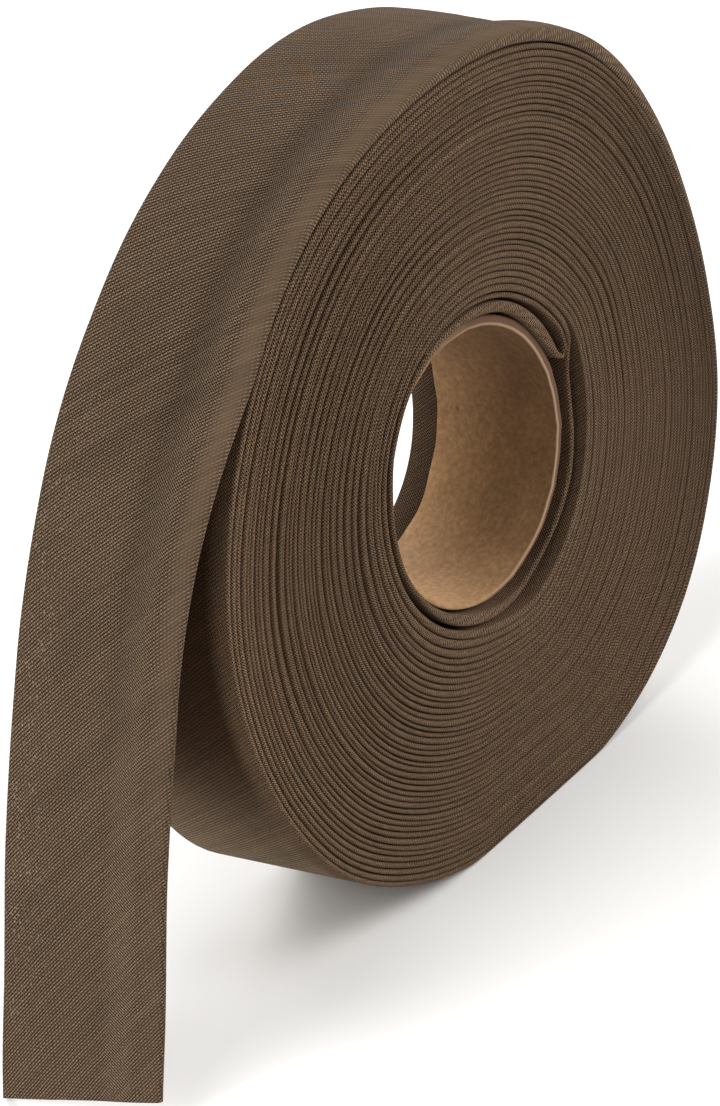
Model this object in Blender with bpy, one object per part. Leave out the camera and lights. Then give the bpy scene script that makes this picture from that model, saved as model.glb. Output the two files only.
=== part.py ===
"""Roll of bias binding: folded cotton tape wound on a short cardboard core.

The roll stands on its edge on the plane Z = 0, resting on a small flat spot. Its axis runs
along Y, with the near face towards -Y. The free end of the tape leaves the roll at the upper
left, hangs clear of it on the -X side and comes down to the resting plane. The origin is on
the resting plane, straight under the core's axis, halfway across the tape.
"""

import math
from collections import namedtuple

import bmesh
import bpy
from mathutils import Vector

MM = 0.001

# Tape: a single-fold binding, both raw edges folded under.
TAPE_WIDTH = 25.0 * MM
FLAP_SHARE = 0.35  # share of the width that each folded edge covers underneath
FLAP_STEP = 0.03  # share of the width over which the flap's raw edge slopes away
SHEET_MIDDLE = 1.0 * MM
SHEET_FLAP = 1.3 * MM
EDGE_ROUND = 0.35 * MM

# Cardboard core.
CORE_OUTER_RADIUS = 18.7 * MM
CORE_WALL = 0.9 * MM
CORE_NEAR_Y = -11.6 * MM
CORE_FAR_Y = 6.9 * MM
CORE_STEPS = 96

# Winding: the axis stands this far above the resting plane.
AXIS_HEIGHT = 52.3 * MM
BORE_RADIUS = 19.1 * MM
BORE_SLACK = 3.0 * MM  # how far the first turns stand off the core on their slack side
BORE_SLACK_ANGLE = -6.0
OUTER_DIP = 0.35 * MM  # the outside sinks between the two folded edges
FOOT_BLEND = 12.0 * MM  # height over which that dip fades out towards the flat foot
DIP_SLOPE = 0.045  # share of the width over which the dip comes in at each side
ROLL_STEPS = 144

Rim = namedtuple("Rim", "angle radius")
OUTLINE = (  # outside of the winding about the axis: degrees from +X towards +Z, mm
    Rim(0, 54.5),
    Rim(15, 54.0),
    Rim(30, 54.7),
    Rim(44, 55.9),
    Rim(50, 54.6),
    Rim(62, 54.0),
    Rim(75, 51.9),
    Rim(90, 50.4),
    Rim(105, 50.0),
    Rim(120, 50.0),
    Rim(135, 50.0),
    Rim(150, 51.1),
    Rim(165, 52.2),
    Rim(180, 53.3),
    Rim(195, 54.1),
    Rim(210, 55.0),
    Rim(225, 55.8),
    Rim(240, 55.1),
    Rim(255, 54.2),
    Rim(270, 53.0),
    Rim(285, 54.3),
    Rim(300, 56.1),
    Rim(315, 56.8),
    Rim(330, 56.4),
    Rim(345, 55.6),
)

Relief = namedtuple("Relief", "share near far")
FACE = (  # faces from the bore (0) to the outside (1): mm that each side stands off the middle
    Relief(0.00, 11.7, 11.9),
    Relief(0.03, 12.3, 12.4),
    Relief(0.25, 12.6, 12.5),
    Relief(0.50, 12.4, 12.6),
    Relief(0.75, 12.6, 12.4),
    Relief(0.97, 12.4, 12.4),
    Relief(1.00, 11.8, 11.8),
)

Lay = namedtuple("Lay", "angle near far")
LOOSE_END = (  # outer face of the free end: degrees about the axis, mm at each edge
    Lay(50, 56.4, 57.0),
    Lay(60, 56.2, 56.5),
    Lay(70, 55.2, 55.7),
    Lay(80, 53.6, 54.5),
    Lay(90, 52.3, 53.5),
    Lay(100, 51.8, 52.9),
    Lay(120, 51.7, 52.3),
    Lay(135, 51.7, 53.0),
    Lay(144, 52.1, 54.1),
    Lay(155, 54.6, 56.1),
    Lay(165, 57.8, 58.5),
    Lay(175, 61.5, 62.1),
    Lay(185, 66.0, 66.8),
    Lay(195, 73.6, 73.8),
    Lay(205, 84.0, 84.3),
    Lay(214, 98.6, 98.9),
)
LOOSE_START = 51.0
CUT_NEAR = 210.0  # the end is cut aslant: angle at which each edge stops
CUT_FAR = 212.6
LOOSE_STEPS = 90

INNER_START = (  # the slack first turn beside the core
    Lay(-74, 20.1, 20.1),
    Lay(-50, 20.7, 20.7),
    Lay(-20, 21.0, 21.0),
    Lay(10, 20.9, 20.9),
    Lay(38, 20.4, 20.4),
)
INNER_THICKNESS = 1.0 * MM
INNER_NEAR_Y = -11.9 * MM
INNER_FAR_Y = 12.6 * MM
INNER_STEPS = 40

SHARP_ANGLE = 40.0  # degrees: rims stay crisp, round faces are shaded smooth
PATH_STEP = 0.5  # degrees either side over which a tape's direction is taken

CLOTH_BROWN = (0.105, 0.071, 0.046)
KRAFT_BROWN = (0.29, 0.18, 0.10)


def clear_scene():
    """Remove every object of the startup scene."""
    for item in list(bpy.data.objects):
        bpy.data.objects.remove(item, do_unlink=True)


def make_material(name, colour, roughness):
    """Principled material with one colour and roughness."""
    material = bpy.data.materials.new(name)
    material.use_nodes = True
    shader = material.node_tree.nodes["Principled BSDF"]
    shader.inputs["Base Color"].default_value = (*colour, 1.0)
    shader.inputs["Roughness"].default_value = roughness
    shader.inputs["Metallic"].default_value = 0.0
    return material


def cotton_material():
    """Matt brown woven cotton."""
    return make_material("bias_cotton", CLOTH_BROWN, 0.92)


def kraft_material():
    """Unbleached cardboard."""
    return make_material("kraft_cardboard", KRAFT_BROWN, 0.85)


def smooth_between(rows, angle, column, period=None):
    """Value of a column at an angle, on a smooth curve through the rows."""
    knots = [row.angle for row in rows]
    values = [getattr(row, column) for row in rows]
    if period:
        angle = (angle - knots[0]) % period + knots[0]
        knots = [knots[-1] - period, *knots, knots[0] + period, knots[1] + period]
        values = [values[-1], *values, values[0], values[1]]
    last = len(knots) - 1
    here = next((i for i in range(last) if knots[i] <= angle <= knots[i + 1]), last - 1)

    def slope(i):
        low, high = max(i - 1, 0), min(i + 1, last)
        return (values[high] - values[low]) / (knots[high] - knots[low])

    span = knots[here + 1] - knots[here]
    t = (angle - knots[here]) / span
    start, end = values[here], values[here + 1]
    lift = t * t * (3 - 2 * t)
    bend = t * (1 - t) * ((1 - t) * slope(here) - t * slope(here + 1)) * span
    return start + (end - start) * lift + bend


def outline_radius(angle):
    """Outside radius of the winding at an angle in degrees."""
    return smooth_between(OUTLINE, angle, "radius", period=360) * MM


def bore_radius(angle):
    """Inside radius of the winding: close on the core, slack on one side."""
    facing = 0.5 + 0.5 * math.cos(math.radians(angle - BORE_SLACK_ANGLE))
    return BORE_RADIUS + BORE_SLACK * facing * facing


def winding_section():
    """Closed section of the winding as (share of the way out, Y) points."""
    flap_edge = TAPE_WIDTH * (0.5 - FLAP_SHARE)
    level = flap_edge + TAPE_WIDTH * DIP_SLOPE
    near = [(row.share, -row.near * MM) for row in FACE]
    outside = [(1.0, -level), (1.0, -flap_edge), (1.0, flap_edge), (1.0, level)]
    far = [(row.share, row.far * MM) for row in reversed(FACE)]
    return near + outside + far


def new_object(name, mesh_builder, material):
    """Object whose mesh the given bmesh builder makes."""
    mesh = bpy.data.meshes.new(name)
    shape = bmesh.new()
    mesh_builder(shape)
    shape.to_mesh(mesh)
    shape.free()
    mesh.shade_smooth()
    mesh.set_sharp_from_angle(angle=math.radians(SHARP_ANGLE))
    item = bpy.data.objects.new(name, mesh)
    item.data.materials.append(material)
    bpy.context.scene.collection.objects.link(item)
    return item


def spin_section(shape, points, steps):
    """Turn a closed (radius, Y) section once round the Y axis."""
    corners = [shape.verts.new((radius, y, 0.0)) for radius, y in points]
    edges = [shape.edges.new(pair) for pair in zip(corners, corners[1:] + corners[:1])]
    bmesh.ops.spin(
        shape,
        geom=corners + edges,
        cent=(0, 0, 0),
        axis=(0, -1, 0),
        angle=math.tau,
        steps=steps,
        use_merge=True,
    )
    bmesh.ops.recalc_face_normals(shape, faces=shape.faces)


def build_winding(shape):
    """The wound form: a ring spun to unit shares, then let out to its uneven outline."""
    spin_section(shape, [(1.0 + share, y) for share, y in winding_section()], ROLL_STEPS)
    middle = TAPE_WIDTH * (0.5 - FLAP_SHARE) + EDGE_ROUND
    for vert in shape.verts:
        share = math.hypot(vert.co.x, vert.co.z) - 1.0
        angle = math.degrees(math.atan2(vert.co.z, vert.co.x))
        bore, outside = bore_radius(angle), outline_radius(angle)
        if abs(vert.co.y) < middle:
            height = AXIS_HEIGHT + outside * math.sin(math.radians(angle))
            outside -= OUTER_DIP * min(1.0, max(0.0, height / FOOT_BLEND))
        radius = bore + share * (outside - bore)
        x = radius * math.cos(math.radians(angle))
        z = AXIS_HEIGHT + radius * math.sin(math.radians(angle))
        vert.co = Vector((x, vert.co.y, max(z, 0.0)))


def lay_point(rows, angle, across):
    """Point of a tape's outer face at an angle, from its near edge (0) to its far edge (1)."""
    near = smooth_between(rows, angle, "near")
    far = smooth_between(rows, angle, "far")
    radius = (near + (far - near) * across) * MM
    turn = math.radians(angle)
    return Vector((radius * math.cos(turn), 0.0, AXIS_HEIGHT + radius * math.sin(turn)))


def inward(rows, angle, across):
    """Unit vector from a tape's outer face towards its inner face."""
    ahead = lay_point(rows, angle + PATH_STEP, across)
    behind = lay_point(rows, angle - PATH_STEP, across)
    return (ahead - behind).cross(Vector((0, 1, 0))).normalized()


def folded_section():
    """Section of the folded tape: (share across, depth) points, thicker along both flaps."""
    step = EDGE_ROUND / TAPE_WIDTH
    outer = [(0.0, EDGE_ROUND), (step, 0.0), (0.5, 0.0), (1.0 - step, 0.0), (1.0, EDGE_ROUND)]
    inner = [
        (1.0, SHEET_FLAP - EDGE_ROUND),
        (1.0 - step, SHEET_FLAP),
        (1.0 - FLAP_SHARE, SHEET_FLAP),
        (1.0 - FLAP_SHARE - FLAP_STEP, SHEET_MIDDLE),
        (FLAP_SHARE + FLAP_STEP, SHEET_MIDDLE),
        (FLAP_SHARE, SHEET_FLAP),
        (step, SHEET_FLAP),
        (0.0, SHEET_FLAP - EDGE_ROUND),
    ]
    return outer + inner


def plain_section():
    """Section of a single flat layer."""
    return [(0.0, 0.0), (1.0, 0.0), (1.0, INNER_THICKNESS), (0.0, INNER_THICKNESS)]


def lay_tape(shape, section, steps, place):
    """Extrude a flat strip of unit length from its section, then lay it on its path."""
    corners = [shape.verts.new((0.0, across, depth)) for across, depth in section]
    edges = [shape.edges.new(pair) for pair in zip(corners, corners[1:] + corners[:1])]
    for _ in range(steps):
        grown = bmesh.ops.extrude_edge_only(shape, edges=edges)["geom"]
        edges = [part for part in grown if isinstance(part, bmesh.types.BMEdge)]
        moved = [part for part in grown if isinstance(part, bmesh.types.BMVert)]
        bmesh.ops.translate(shape, verts=moved, vec=(1.0 / steps, 0.0, 0.0))
    bmesh.ops.holes_fill(shape, edges=shape.edges, sides=0)
    bmesh.ops.recalc_face_normals(shape, faces=shape.faces)
    for vert in shape.verts:
        vert.co = place(*vert.co)


def place_loose(along, across, depth):
    """Point of the free end: it starts on the roll and stops at its slanted cut."""
    cut = CUT_NEAR + (CUT_FAR - CUT_NEAR) * across
    angle = LOOSE_START + (cut - LOOSE_START) * along
    point = lay_point(LOOSE_END, angle, across) + inward(LOOSE_END, angle, across) * depth
    point.y = TAPE_WIDTH * (across - 0.5)
    return point


def place_inner(along, across, depth):
    """Point of the slack first turn beside the core."""
    first, last = INNER_START[0].angle, INNER_START[-1].angle
    angle = first + (last - first) * along
    point = lay_point(INNER_START, angle, across) + inward(INNER_START, angle, across) * depth
    point.y = INNER_NEAR_Y + (INNER_FAR_Y - INNER_NEAR_Y) * across
    return point


def build_loose_end(shape):
    """The free end of the folded tape."""
    lay_tape(shape, folded_section(), LOOSE_STEPS, place_loose)


def build_inner_start(shape):
    """The slack start of the tape, between the core and the winding."""
    lay_tape(shape, plain_section(), INNER_STEPS, place_inner)


def build_core(shape):
    """The open cardboard tube."""
    inner = CORE_OUTER_RADIUS - CORE_WALL
    wall = (
        (inner, CORE_NEAR_Y),
        (inner, CORE_FAR_Y),
        (CORE_OUTER_RADIUS, CORE_FAR_Y),
        (CORE_OUTER_RADIUS, CORE_NEAR_Y),
    )
    spin_section(shape, wall, CORE_STEPS)
    bmesh.ops.translate(shape, verts=shape.verts, vec=(0.0, 0.0, AXIS_HEIGHT))


def main():
    """Build the roll."""
    clear_scene()
    cotton = cotton_material()
    kraft = kraft_material()
    new_object("wound_roll", build_winding, cotton)
    new_object("loose_end", build_loose_end, cotton)
    new_object("inner_start", build_inner_start, cotton)
    new_object("core_tube", build_core, kraft)


main()
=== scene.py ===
"""Roll of bias binding: folded brown cotton tape wound on a short cardboard core.

The whole roll is one strip of plain-woven cotton, cut on the bias, with both raw edges folded
under. Every turn, the loose outer end and the slack first turn are laid from that same folded
section, so the threads run on over each fold. Tables are in degrees and millimetres about the
core's axis, angles from +X towards +Z; the model is in metres.
"""

import logging
import math
from dataclasses import dataclass
from enum import Enum
from typing import NamedTuple, Sequence

import bmesh
import bpy
import numpy as np
from mathutils import Matrix, Vector


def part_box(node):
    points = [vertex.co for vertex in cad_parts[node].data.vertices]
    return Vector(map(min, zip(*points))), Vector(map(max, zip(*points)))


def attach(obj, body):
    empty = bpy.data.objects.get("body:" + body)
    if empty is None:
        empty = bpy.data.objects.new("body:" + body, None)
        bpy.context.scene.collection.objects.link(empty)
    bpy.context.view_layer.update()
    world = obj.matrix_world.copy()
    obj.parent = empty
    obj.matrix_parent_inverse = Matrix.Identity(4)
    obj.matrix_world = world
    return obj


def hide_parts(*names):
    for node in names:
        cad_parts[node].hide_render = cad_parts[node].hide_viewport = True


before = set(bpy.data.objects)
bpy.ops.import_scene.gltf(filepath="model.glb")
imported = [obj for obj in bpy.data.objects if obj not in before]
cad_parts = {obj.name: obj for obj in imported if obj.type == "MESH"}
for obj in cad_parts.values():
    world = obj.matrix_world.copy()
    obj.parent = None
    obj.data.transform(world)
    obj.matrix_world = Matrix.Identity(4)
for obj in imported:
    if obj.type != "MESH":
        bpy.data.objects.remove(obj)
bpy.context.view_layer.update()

MM = 0.001
FULL_TURN = 360.0
SHARP_ANGLE = 50.0  # degrees between two faces past which their edge stays sharp
MERGE = 1e-7  # metres
MARKS_FADE_FROM, MARKS_FADED = 0.185, 0.27  # metres along the loose end's piece

log = logging.getLogger("bias_binding")


# ---------------------------------------------------------------------------- tables and curves


class Rim(NamedTuple):
    """A radius of the wound pack at an angle."""

    angle: float
    radius: float


class Lay(NamedTuple):
    """Outer face of the tape at an angle, thickness of its folded edge, and skew of its threads."""

    angle: float
    near: float
    far: float
    thick: float
    skew: float


class Loop(NamedTuple):
    """The slack first turn: middle of its near edge, thickness, how far that edge sinks in, and how
    much nearer the axis its far edge lies."""

    angle: float
    radius: float
    thick: float
    sunk: float
    lean: float = 0.0


class Crown(NamedTuple):
    """Height of the tape's face at a share of its width from the near fold."""

    across: float
    lying: float
    hanging: float


class Curve:
    """A smooth curve through the rows of a short table."""

    def __init__(self, places: Sequence[float], values: Sequence[float], period: float = 0.0) -> None:
        """Keep the knots, repeated to both sides where the curve closes on itself.

        Args:
            places: Where each row stands, increasing.
            values: The value of each row.
            period: Length after which the rows repeat, or 0 for an open curve.
        """
        at = np.array(places, float)
        value = np.array(values, float)
        if period:
            at = np.concatenate([at - period, at, at + period])
            value = np.concatenate([value, value, value])
        self.start, self.period = float(places[0]), period
        self.at, self.value = at, value
        slope = np.empty_like(value)
        slope[1:-1] = (value[2:] - value[:-2]) / (at[2:] - at[:-2])
        slope[0] = (value[1] - value[0]) / (at[1] - at[0])
        slope[-1] = (value[-1] - value[-2]) / (at[-1] - at[-2])
        self.slope = slope

    @classmethod
    def of(cls, rows: Sequence[NamedTuple], column: str, period: float = 0.0) -> "Curve":
        """Make the curve of one column of a table over the table's first column."""
        return cls([row[0] for row in rows], [getattr(row, column) for row in rows], period)

    def __call__(self, where: np.ndarray) -> np.ndarray:
        """Read the curve.

        Args:
            where: Places to read it at.

        Returns:
            The value at each place.
        """
        place = np.asarray(where, float)
        if self.period:
            place = (place - self.start) % self.period + self.start
        place = np.clip(place, self.at[0], self.at[-1])
        here = np.clip(np.searchsorted(self.at, place, side="right") - 1, 0, len(self.at) - 2)
        span = self.at[here + 1] - self.at[here]
        t = (place - self.at[here]) / span
        low, high = self.value[here], self.value[here + 1]
        bend = (1 - t) * self.slope[here] - t * self.slope[here + 1]
        return low + (high - low) * t * t * (3 - 2 * t) + t * (1 - t) * bend * span


@dataclass(frozen=True)
class Ripple:
    """Unevenness that changes smoothly along the tape, different on each turn."""

    amount: float
    slowest: float
    fastest: float
    seed: int
    waves: int = 9

    def along(self, angle: np.ndarray) -> np.ndarray:
        """Read the unevenness.

        Args:
            angle: Angles along the whole tape, in degrees, not wrapped.

        Returns:
            Offsets with a standard deviation of about the amount.
        """
        random = np.random.default_rng(self.seed)
        per_turn = np.geomspace(self.slowest, self.fastest, self.waves)
        per_turn = per_turn * random.uniform(0.85, 1.15, self.waves)
        phase = random.uniform(0.0, math.tau, self.waves)
        turns = np.asarray(angle, float)[..., None] / FULL_TURN
        waves = np.sin(math.tau * per_turn * turns + phase)
        return self.amount * math.sqrt(2.0 / self.waves) * waves.sum(axis=-1)


# ------------------------------------------------------------------------------------- finishes

def linear(hex_colour: str) -> tuple[float, float, float, float]:
    """Turn an sRGB hex colour into linear RGBA.

    Args:
        hex_colour: Six hex digits.

    Returns:
        The colour in linear light, with full opacity.
    """
    channels = [int(hex_colour[i : i + 2], 16) / 255.0 for i in (0, 2, 4)]
    light = [c / 12.92 if c <= 0.04045 else ((c + 0.055) / 1.055) ** 2.4 for c in channels]
    return (light[0], light[1], light[2], 1.0)


def add_node(
    tree: bpy.types.NodeTree, kind: str, settings: dict, links: dict, output: int | str = 0
) -> bpy.types.NodeSocket:
    """Add one shader node.

    Args:
        tree: The node tree.
        kind: Blender's name of the node type, without its "ShaderNode".
        settings: Node properties by name, and input values by socket name or number.
        links: Output sockets by the socket name or number that each one feeds.
        output: Name or number of the wanted output.

    Returns:
        That output of the new node.
    """
    node = tree.nodes.new("ShaderNode" + kind)
    for key, value in settings.items():
        if isinstance(key, int) or key in node.inputs:
            node.inputs[key].default_value = value
        else:
            setattr(node, key, value)
    for key, socket in links.items():
        tree.links.new(socket, node.inputs[key])
    return node.outputs[output]


def ramp_stops(ramp: bpy.types.NodeSocket, places: Sequence[float], colours: Sequence[str]) -> None:
    """Set a colour ramp's stops.

    Args:
        ramp: The colour ramp's output.
        places: Position of each stop.
        colours: Its sRGB hex colour.
    """
    elements = ramp.node.color_ramp.elements
    while len(elements) < len(places):
        elements.new(0.5)
    for element, place, colour in zip(elements, places, colours):
        element.position = place
        element.color = linear(colour)


def new_material(name: str) -> tuple[bpy.types.Material, bpy.types.NodeTree, bpy.types.Node]:
    """Start a material.

    Args:
        name: The material's name.

    Returns:
        The material, its node tree and its Principled shader.
    """
    material = bpy.data.materials.new(name)
    material.use_nodes = True
    tree = material.node_tree
    return material, tree, tree.nodes["Principled BSDF"]


class Weave(Enum):
    """Which variant of the one cloth a piece shows, each with its own painted light and shade."""

    WOUND = "wound"
    FIRST = "first"
    LOOSE = "loose"


class Cloth(NamedTuple):
    """Where a material is on the unfolded strip: both ways, along it and across it, in metres."""

    place: bpy.types.NodeSocket
    along: bpy.types.NodeSocket
    across: bpy.types.NodeSocket


@dataclass(frozen=True)
class BiasCotton:
    """Dyed plain-woven cotton cut on the bias: matt, with a fine grain slanting over the tape.

    Its two thread sets cross at about 45 degrees to the tape. Scales count patches per metre.
    """

    fine_pitch: float = 0.283 * MM
    coarse_pitch: float = 0.415 * MM
    fine_angle: float = -46.0
    coarse_angle: float = 52.0
    wander: float = 0.7  # how far the threads stray from straight, in pitches
    cross_lift: float = 0.34  # how much higher a thread stands where it passes over the other set
    tone_heights: tuple[float, float, float] = (0.18, 0.42, 0.75)
    # One cloth in two tones: the wound ones are a little darker and warmer, as painted shade on the wound
    # face.
    wound_tones: tuple[str, str, str] = ("1b1109", "4e3a2a", "816c57")
    loose_tones: tuple[str, str, str] = ("1b1109", "524131", "84715e")
    pressed: str = "5d4c3c"
    roughness: float = 0.9
    gloss: float = 0.06
    relief: float = 0.12 * MM
    fuzz: float = 0.38  # share of the weave's height that stray fibres add
    fibre_scale: float = 5000.0
    stray_scale: float = 260.0  # threads stray over about 4 mm
    patch_scale: float = 70.0  # dye patches 14 mm long
    cluster_scale: float = 330.0  # glints in clusters 3 mm wide
    press_line: float = 10.3 * MM  # across the strip, where ironing flattened the threads
    press_width: float = 2.6 * MM
    turn_line: float = 15.5 * MM  # across the strip, where the fine threads stand out most
    turn_width: float = 3.2 * MM
    fold_share: float = 0.75  # how far the fine threads stand out on the wound folds
    trough_line: float = 16.8 * MM  # across the strip, beside the flap, where the face sinks and shade is painted on
    trough_width: float = 4.6 * MM
    trough_shade: float = 0.66
    marks_left: float = 0.15  # share of the pressed band and of the trough's painted shade that is left at the cut
    shade_start: float = 12.5 * MM  # across the strip, where the painted light and shade on the outer face start
    # Painted light and shade on the outer face: paler, bluer floor light low down, darker, warmer shade
    # higher up.
    painted_shade_heights: tuple[float, float] = (8.0 * MM, 42.0 * MM)
    painted_shade_tint: str = "807365"
    painted_floor_light: str = "ecf9ff"
    painted_tint_level: float = 1.85
    side_light_rate: float = -2500.0  # painted light: how much paler the -X side and darker the +X side are, per cubic metre
    glint_line: float = 31.0 * MM  # across the strip, where glints of light are painted near the cut end
    glint_width: float = 6.5 * MM
    glint_size: tuple[float, float] = (0.85 * MM, 0.42 * MM)
    glint: str = "a59682"
    inner_line: float = 42.5 * MM  # the far raw edge, deep in the bore, where shade is painted on
    inner_width: float = 14.0 * MM
    bore_shade: float = 0.33

    def material(
        self, name: str, weave: Weave, fades: tuple[float, float] = (0.0, 1.0)
    ) -> bpy.types.Material:
        """Make the cloth's material.

        Args:
            name: The material's name.
            weave: Which variant, with its painted light and shade.
            fades: Where along the strip the loose end's pressed marks and the trough's painted shade start to
                fade and where they are gone; its painted glints start and stop there too.

        Returns:
            The material. It reads the piece's cloth UV map, in metres along and across the strip.
        """
        material, tree, shader = new_material(name)
        place = add_node(tree, "UVMap", {"uv_map": "cloth"}, {})
        along = add_node(tree, "SeparateXYZ", {}, {"Vector": place})
        cloth = Cloth(place, along, along.node.outputs["Y"])
        loose = weave is Weave.LOOSE
        share: bpy.types.NodeSocket | float = self.fold_share
        if loose:
            share = self._near(tree, cloth.across, self.turn_line, self.turn_width)
        height, slub = self._threads(tree, cloth, share)
        colour = add_node(tree, "ValToRGB", {}, {"Fac": height})
        ramp_stops(colour, self.tone_heights, self.loose_tones if loose else self.wound_tones)
        bump = add_node(tree, "Bump", {"Strength": 0.9, "Distance": self.relief}, {"Height": height})
        # Uneven dye: slow patches a centimetre or two long, and single threads that took it less.
        slow = {"Scale": self.patch_scale, "Detail": 3.0, "Roughness": 0.6}
        patches = add_node(tree, "TexNoise", slow, {"Vector": place})
        dye = add_node(
            tree,
            "MapRange",
            {"From Min": 0.25, "From Max": 0.75, "To Min": 0.9, "To Max": 1.1},
            {"Value": patches},
        )
        tone = add_node(tree, "Math", {"operation": "MULTIPLY"}, {0: dye, 1: slub})
        if weave is Weave.WOUND:
            spot = add_node(tree, "TexCoord", {}, {}, "Object")
            # Painted light and shade: the folds are paler towards -X and darker towards +X.
            tone = self._painted_side_light(tree, spot, tone)
            # Painted shade under the loose end and painted floor light low down on the outer face.
            colour = self._painted_wedge_shade(tree, cloth.across, spot, colour)
        elif weave is Weave.FIRST:
            # Painted shade on the first turn's far part, deep in the bore.
            band = self._near(tree, cloth.across, self.inner_line, self.inner_width)
            tone = self._painted_shade_band(tree, band, self.bore_shade, tone)
        else:
            fade = self._fade(tree, cloth.along, fades)
            # Ironed smooth beside the fold, so no single threads show.
            smooth = self._near(tree, cloth.across, self.press_line, self.press_width)
            smooth = add_node(tree, "Math", {"operation": "MULTIPLY"}, {0: smooth, 1: fade})
            flat = add_node(tree, "Math", {"operation": "MULTIPLY", 1: 0.8}, {0: smooth})
            pressed = {"data_type": "RGBA", 7: linear(self.pressed)}
            colour = add_node(tree, "Mix", pressed, {0: flat, 6: colour}, 2)
            rough = add_node(tree, "MapRange", {"To Min": 0.9, "To Max": 0.3}, {"Value": smooth})
            tree.links.new(rough, bump.node.inputs["Strength"])
            # Painted shade in the trough beside the flap, fading towards the cut end.
            band = self._near(tree, cloth.across, self.trough_line, self.trough_width)
            band = add_node(tree, "Math", {"operation": "MULTIPLY"}, {0: band, 1: fade})
            tone = self._painted_shade_band(tree, band, self.trough_shade, tone)
        multiply = {"data_type": "RGBA", "blend_type": "MULTIPLY", 0: 1.0}
        colour = add_node(tree, "Mix", multiply, {6: colour, 7: tone}, 2)
        if loose:
            # Painted glints of light near the cut end.
            colour = self._glints(tree, cloth, fades, colour)
        tree.links.new(colour, shader.inputs["Base Color"])
        tree.links.new(bump, shader.inputs["Normal"])
        shader.inputs["Roughness"].default_value = self.roughness
        shader.inputs["Specular IOR Level"].default_value = self.gloss
        return material

    def _painted_side_light(
        self, tree: bpy.types.NodeTree, spot: bpy.types.NodeSocket, tone: bpy.types.NodeSocket
    ) -> bpy.types.NodeSocket:
        """Paint light and shade onto the folds: paler towards -X and darker towards +X.

        Args:
            tree: The material's node tree.
            spot: Position in the model, in metres.
            tone: The cloth's brightness.

        Returns:
            The brightness with its painted light and shade.
        """
        right = add_node(tree, "SeparateXYZ", {}, {"Vector": spot})
        cube = add_node(tree, "Math", {"operation": "POWER", 1: 3.0}, {0: right})
        side_light = add_node(tree, "Math", {"operation": "MULTIPLY_ADD", 1: self.side_light_rate, 2: 1.0}, {0: cube})
        return add_node(tree, "Math", {"operation": "MULTIPLY"}, {0: tone, 1: side_light})

    @staticmethod
    def _painted_shade_band(
        tree: bpy.types.NodeTree, band: bpy.types.NodeSocket, low: float, tone: bpy.types.NodeSocket
    ) -> bpy.types.NodeSocket:
        """Paint shade onto a band of the cloth.

        Args:
            tree: The material's node tree.
            band: 1 on the band, 0 off it.
            low: Share of the brightness that is left on the band.
            tone: The cloth's brightness.

        Returns:
            The brightness with its painted shade.
        """
        shade_left = add_node(tree, "MapRange", {"To Min": 1.0, "To Max": low}, {"Value": band})
        return add_node(tree, "Math", {"operation": "MULTIPLY"}, {0: tone, 1: shade_left})

    def _fade(
        self, tree: bpy.types.NodeTree, along: bpy.types.NodeSocket, fades: tuple[float, float]
    ) -> bpy.types.NodeSocket:
        """Fade the fold's pressed marks and the trough's painted shade towards the cut end.

        Args:
            tree: The material's node tree.
            along: Position along the strip, in metres.
            fades: Where the fading starts and ends.

        Returns:
            1 where the marks are whole, and the little that is left of them at the cut.
        """
        ends = {"From Min": fades[0], "From Max": fades[1], "To Min": 1.0, "To Max": self.marks_left}
        return add_node(tree, "MapRange", {"interpolation_type": "SMOOTHSTEP"} | ends, {"Value": along})

    def _painted_wedge_shade(
        self,
        tree: bpy.types.NodeTree,
        across: bpy.types.NodeSocket,
        spot: bpy.types.NodeSocket,
        colour: bpy.types.NodeSocket,
    ) -> bpy.types.NodeSocket:
        """Paint shade onto the outer face: darker and warmer higher up, where the loose end shades it, and
        paler and bluer low down, as painted light from the floor.

        Args:
            tree: The material's node tree.
            across: Position across the strip, in metres.
            spot: Position in the model, in metres.
            colour: The dyed cloth.

        Returns:
            The colour of the cloth, unchanged on the folds.
        """
        low, high = self.painted_shade_heights
        height = add_node(tree, "SeparateXYZ", {}, {"Vector": spot}, "Z")
        ends = {"interpolation_type": "SMOOTHSTEP", "From Min": low, "From Max": high}
        shade_share = add_node(tree, "MapRange", ends, {"Value": height})
        tints = {"data_type": "RGBA", 6: linear(self.painted_floor_light), 7: linear(self.painted_shade_tint)}
        tint = add_node(tree, "Mix", tints, {0: shade_share}, 2)
        strong = add_node(tree, "VectorMath", {"operation": "SCALE", "Scale": self.painted_tint_level}, {0: tint})
        multiply = {"data_type": "RGBA", "blend_type": "MULTIPLY", 0: 1.0}
        tinted = add_node(tree, "Mix", multiply, {6: colour, 7: strong}, 2)
        start = {"From Min": self.shade_start - 2.0 * MM, "From Max": self.shade_start}
        under = add_node(tree, "MapRange", start, {"Value": across})
        return add_node(tree, "Mix", {"data_type": "RGBA"}, {0: under, 6: colour, 7: tinted}, 2)

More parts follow.
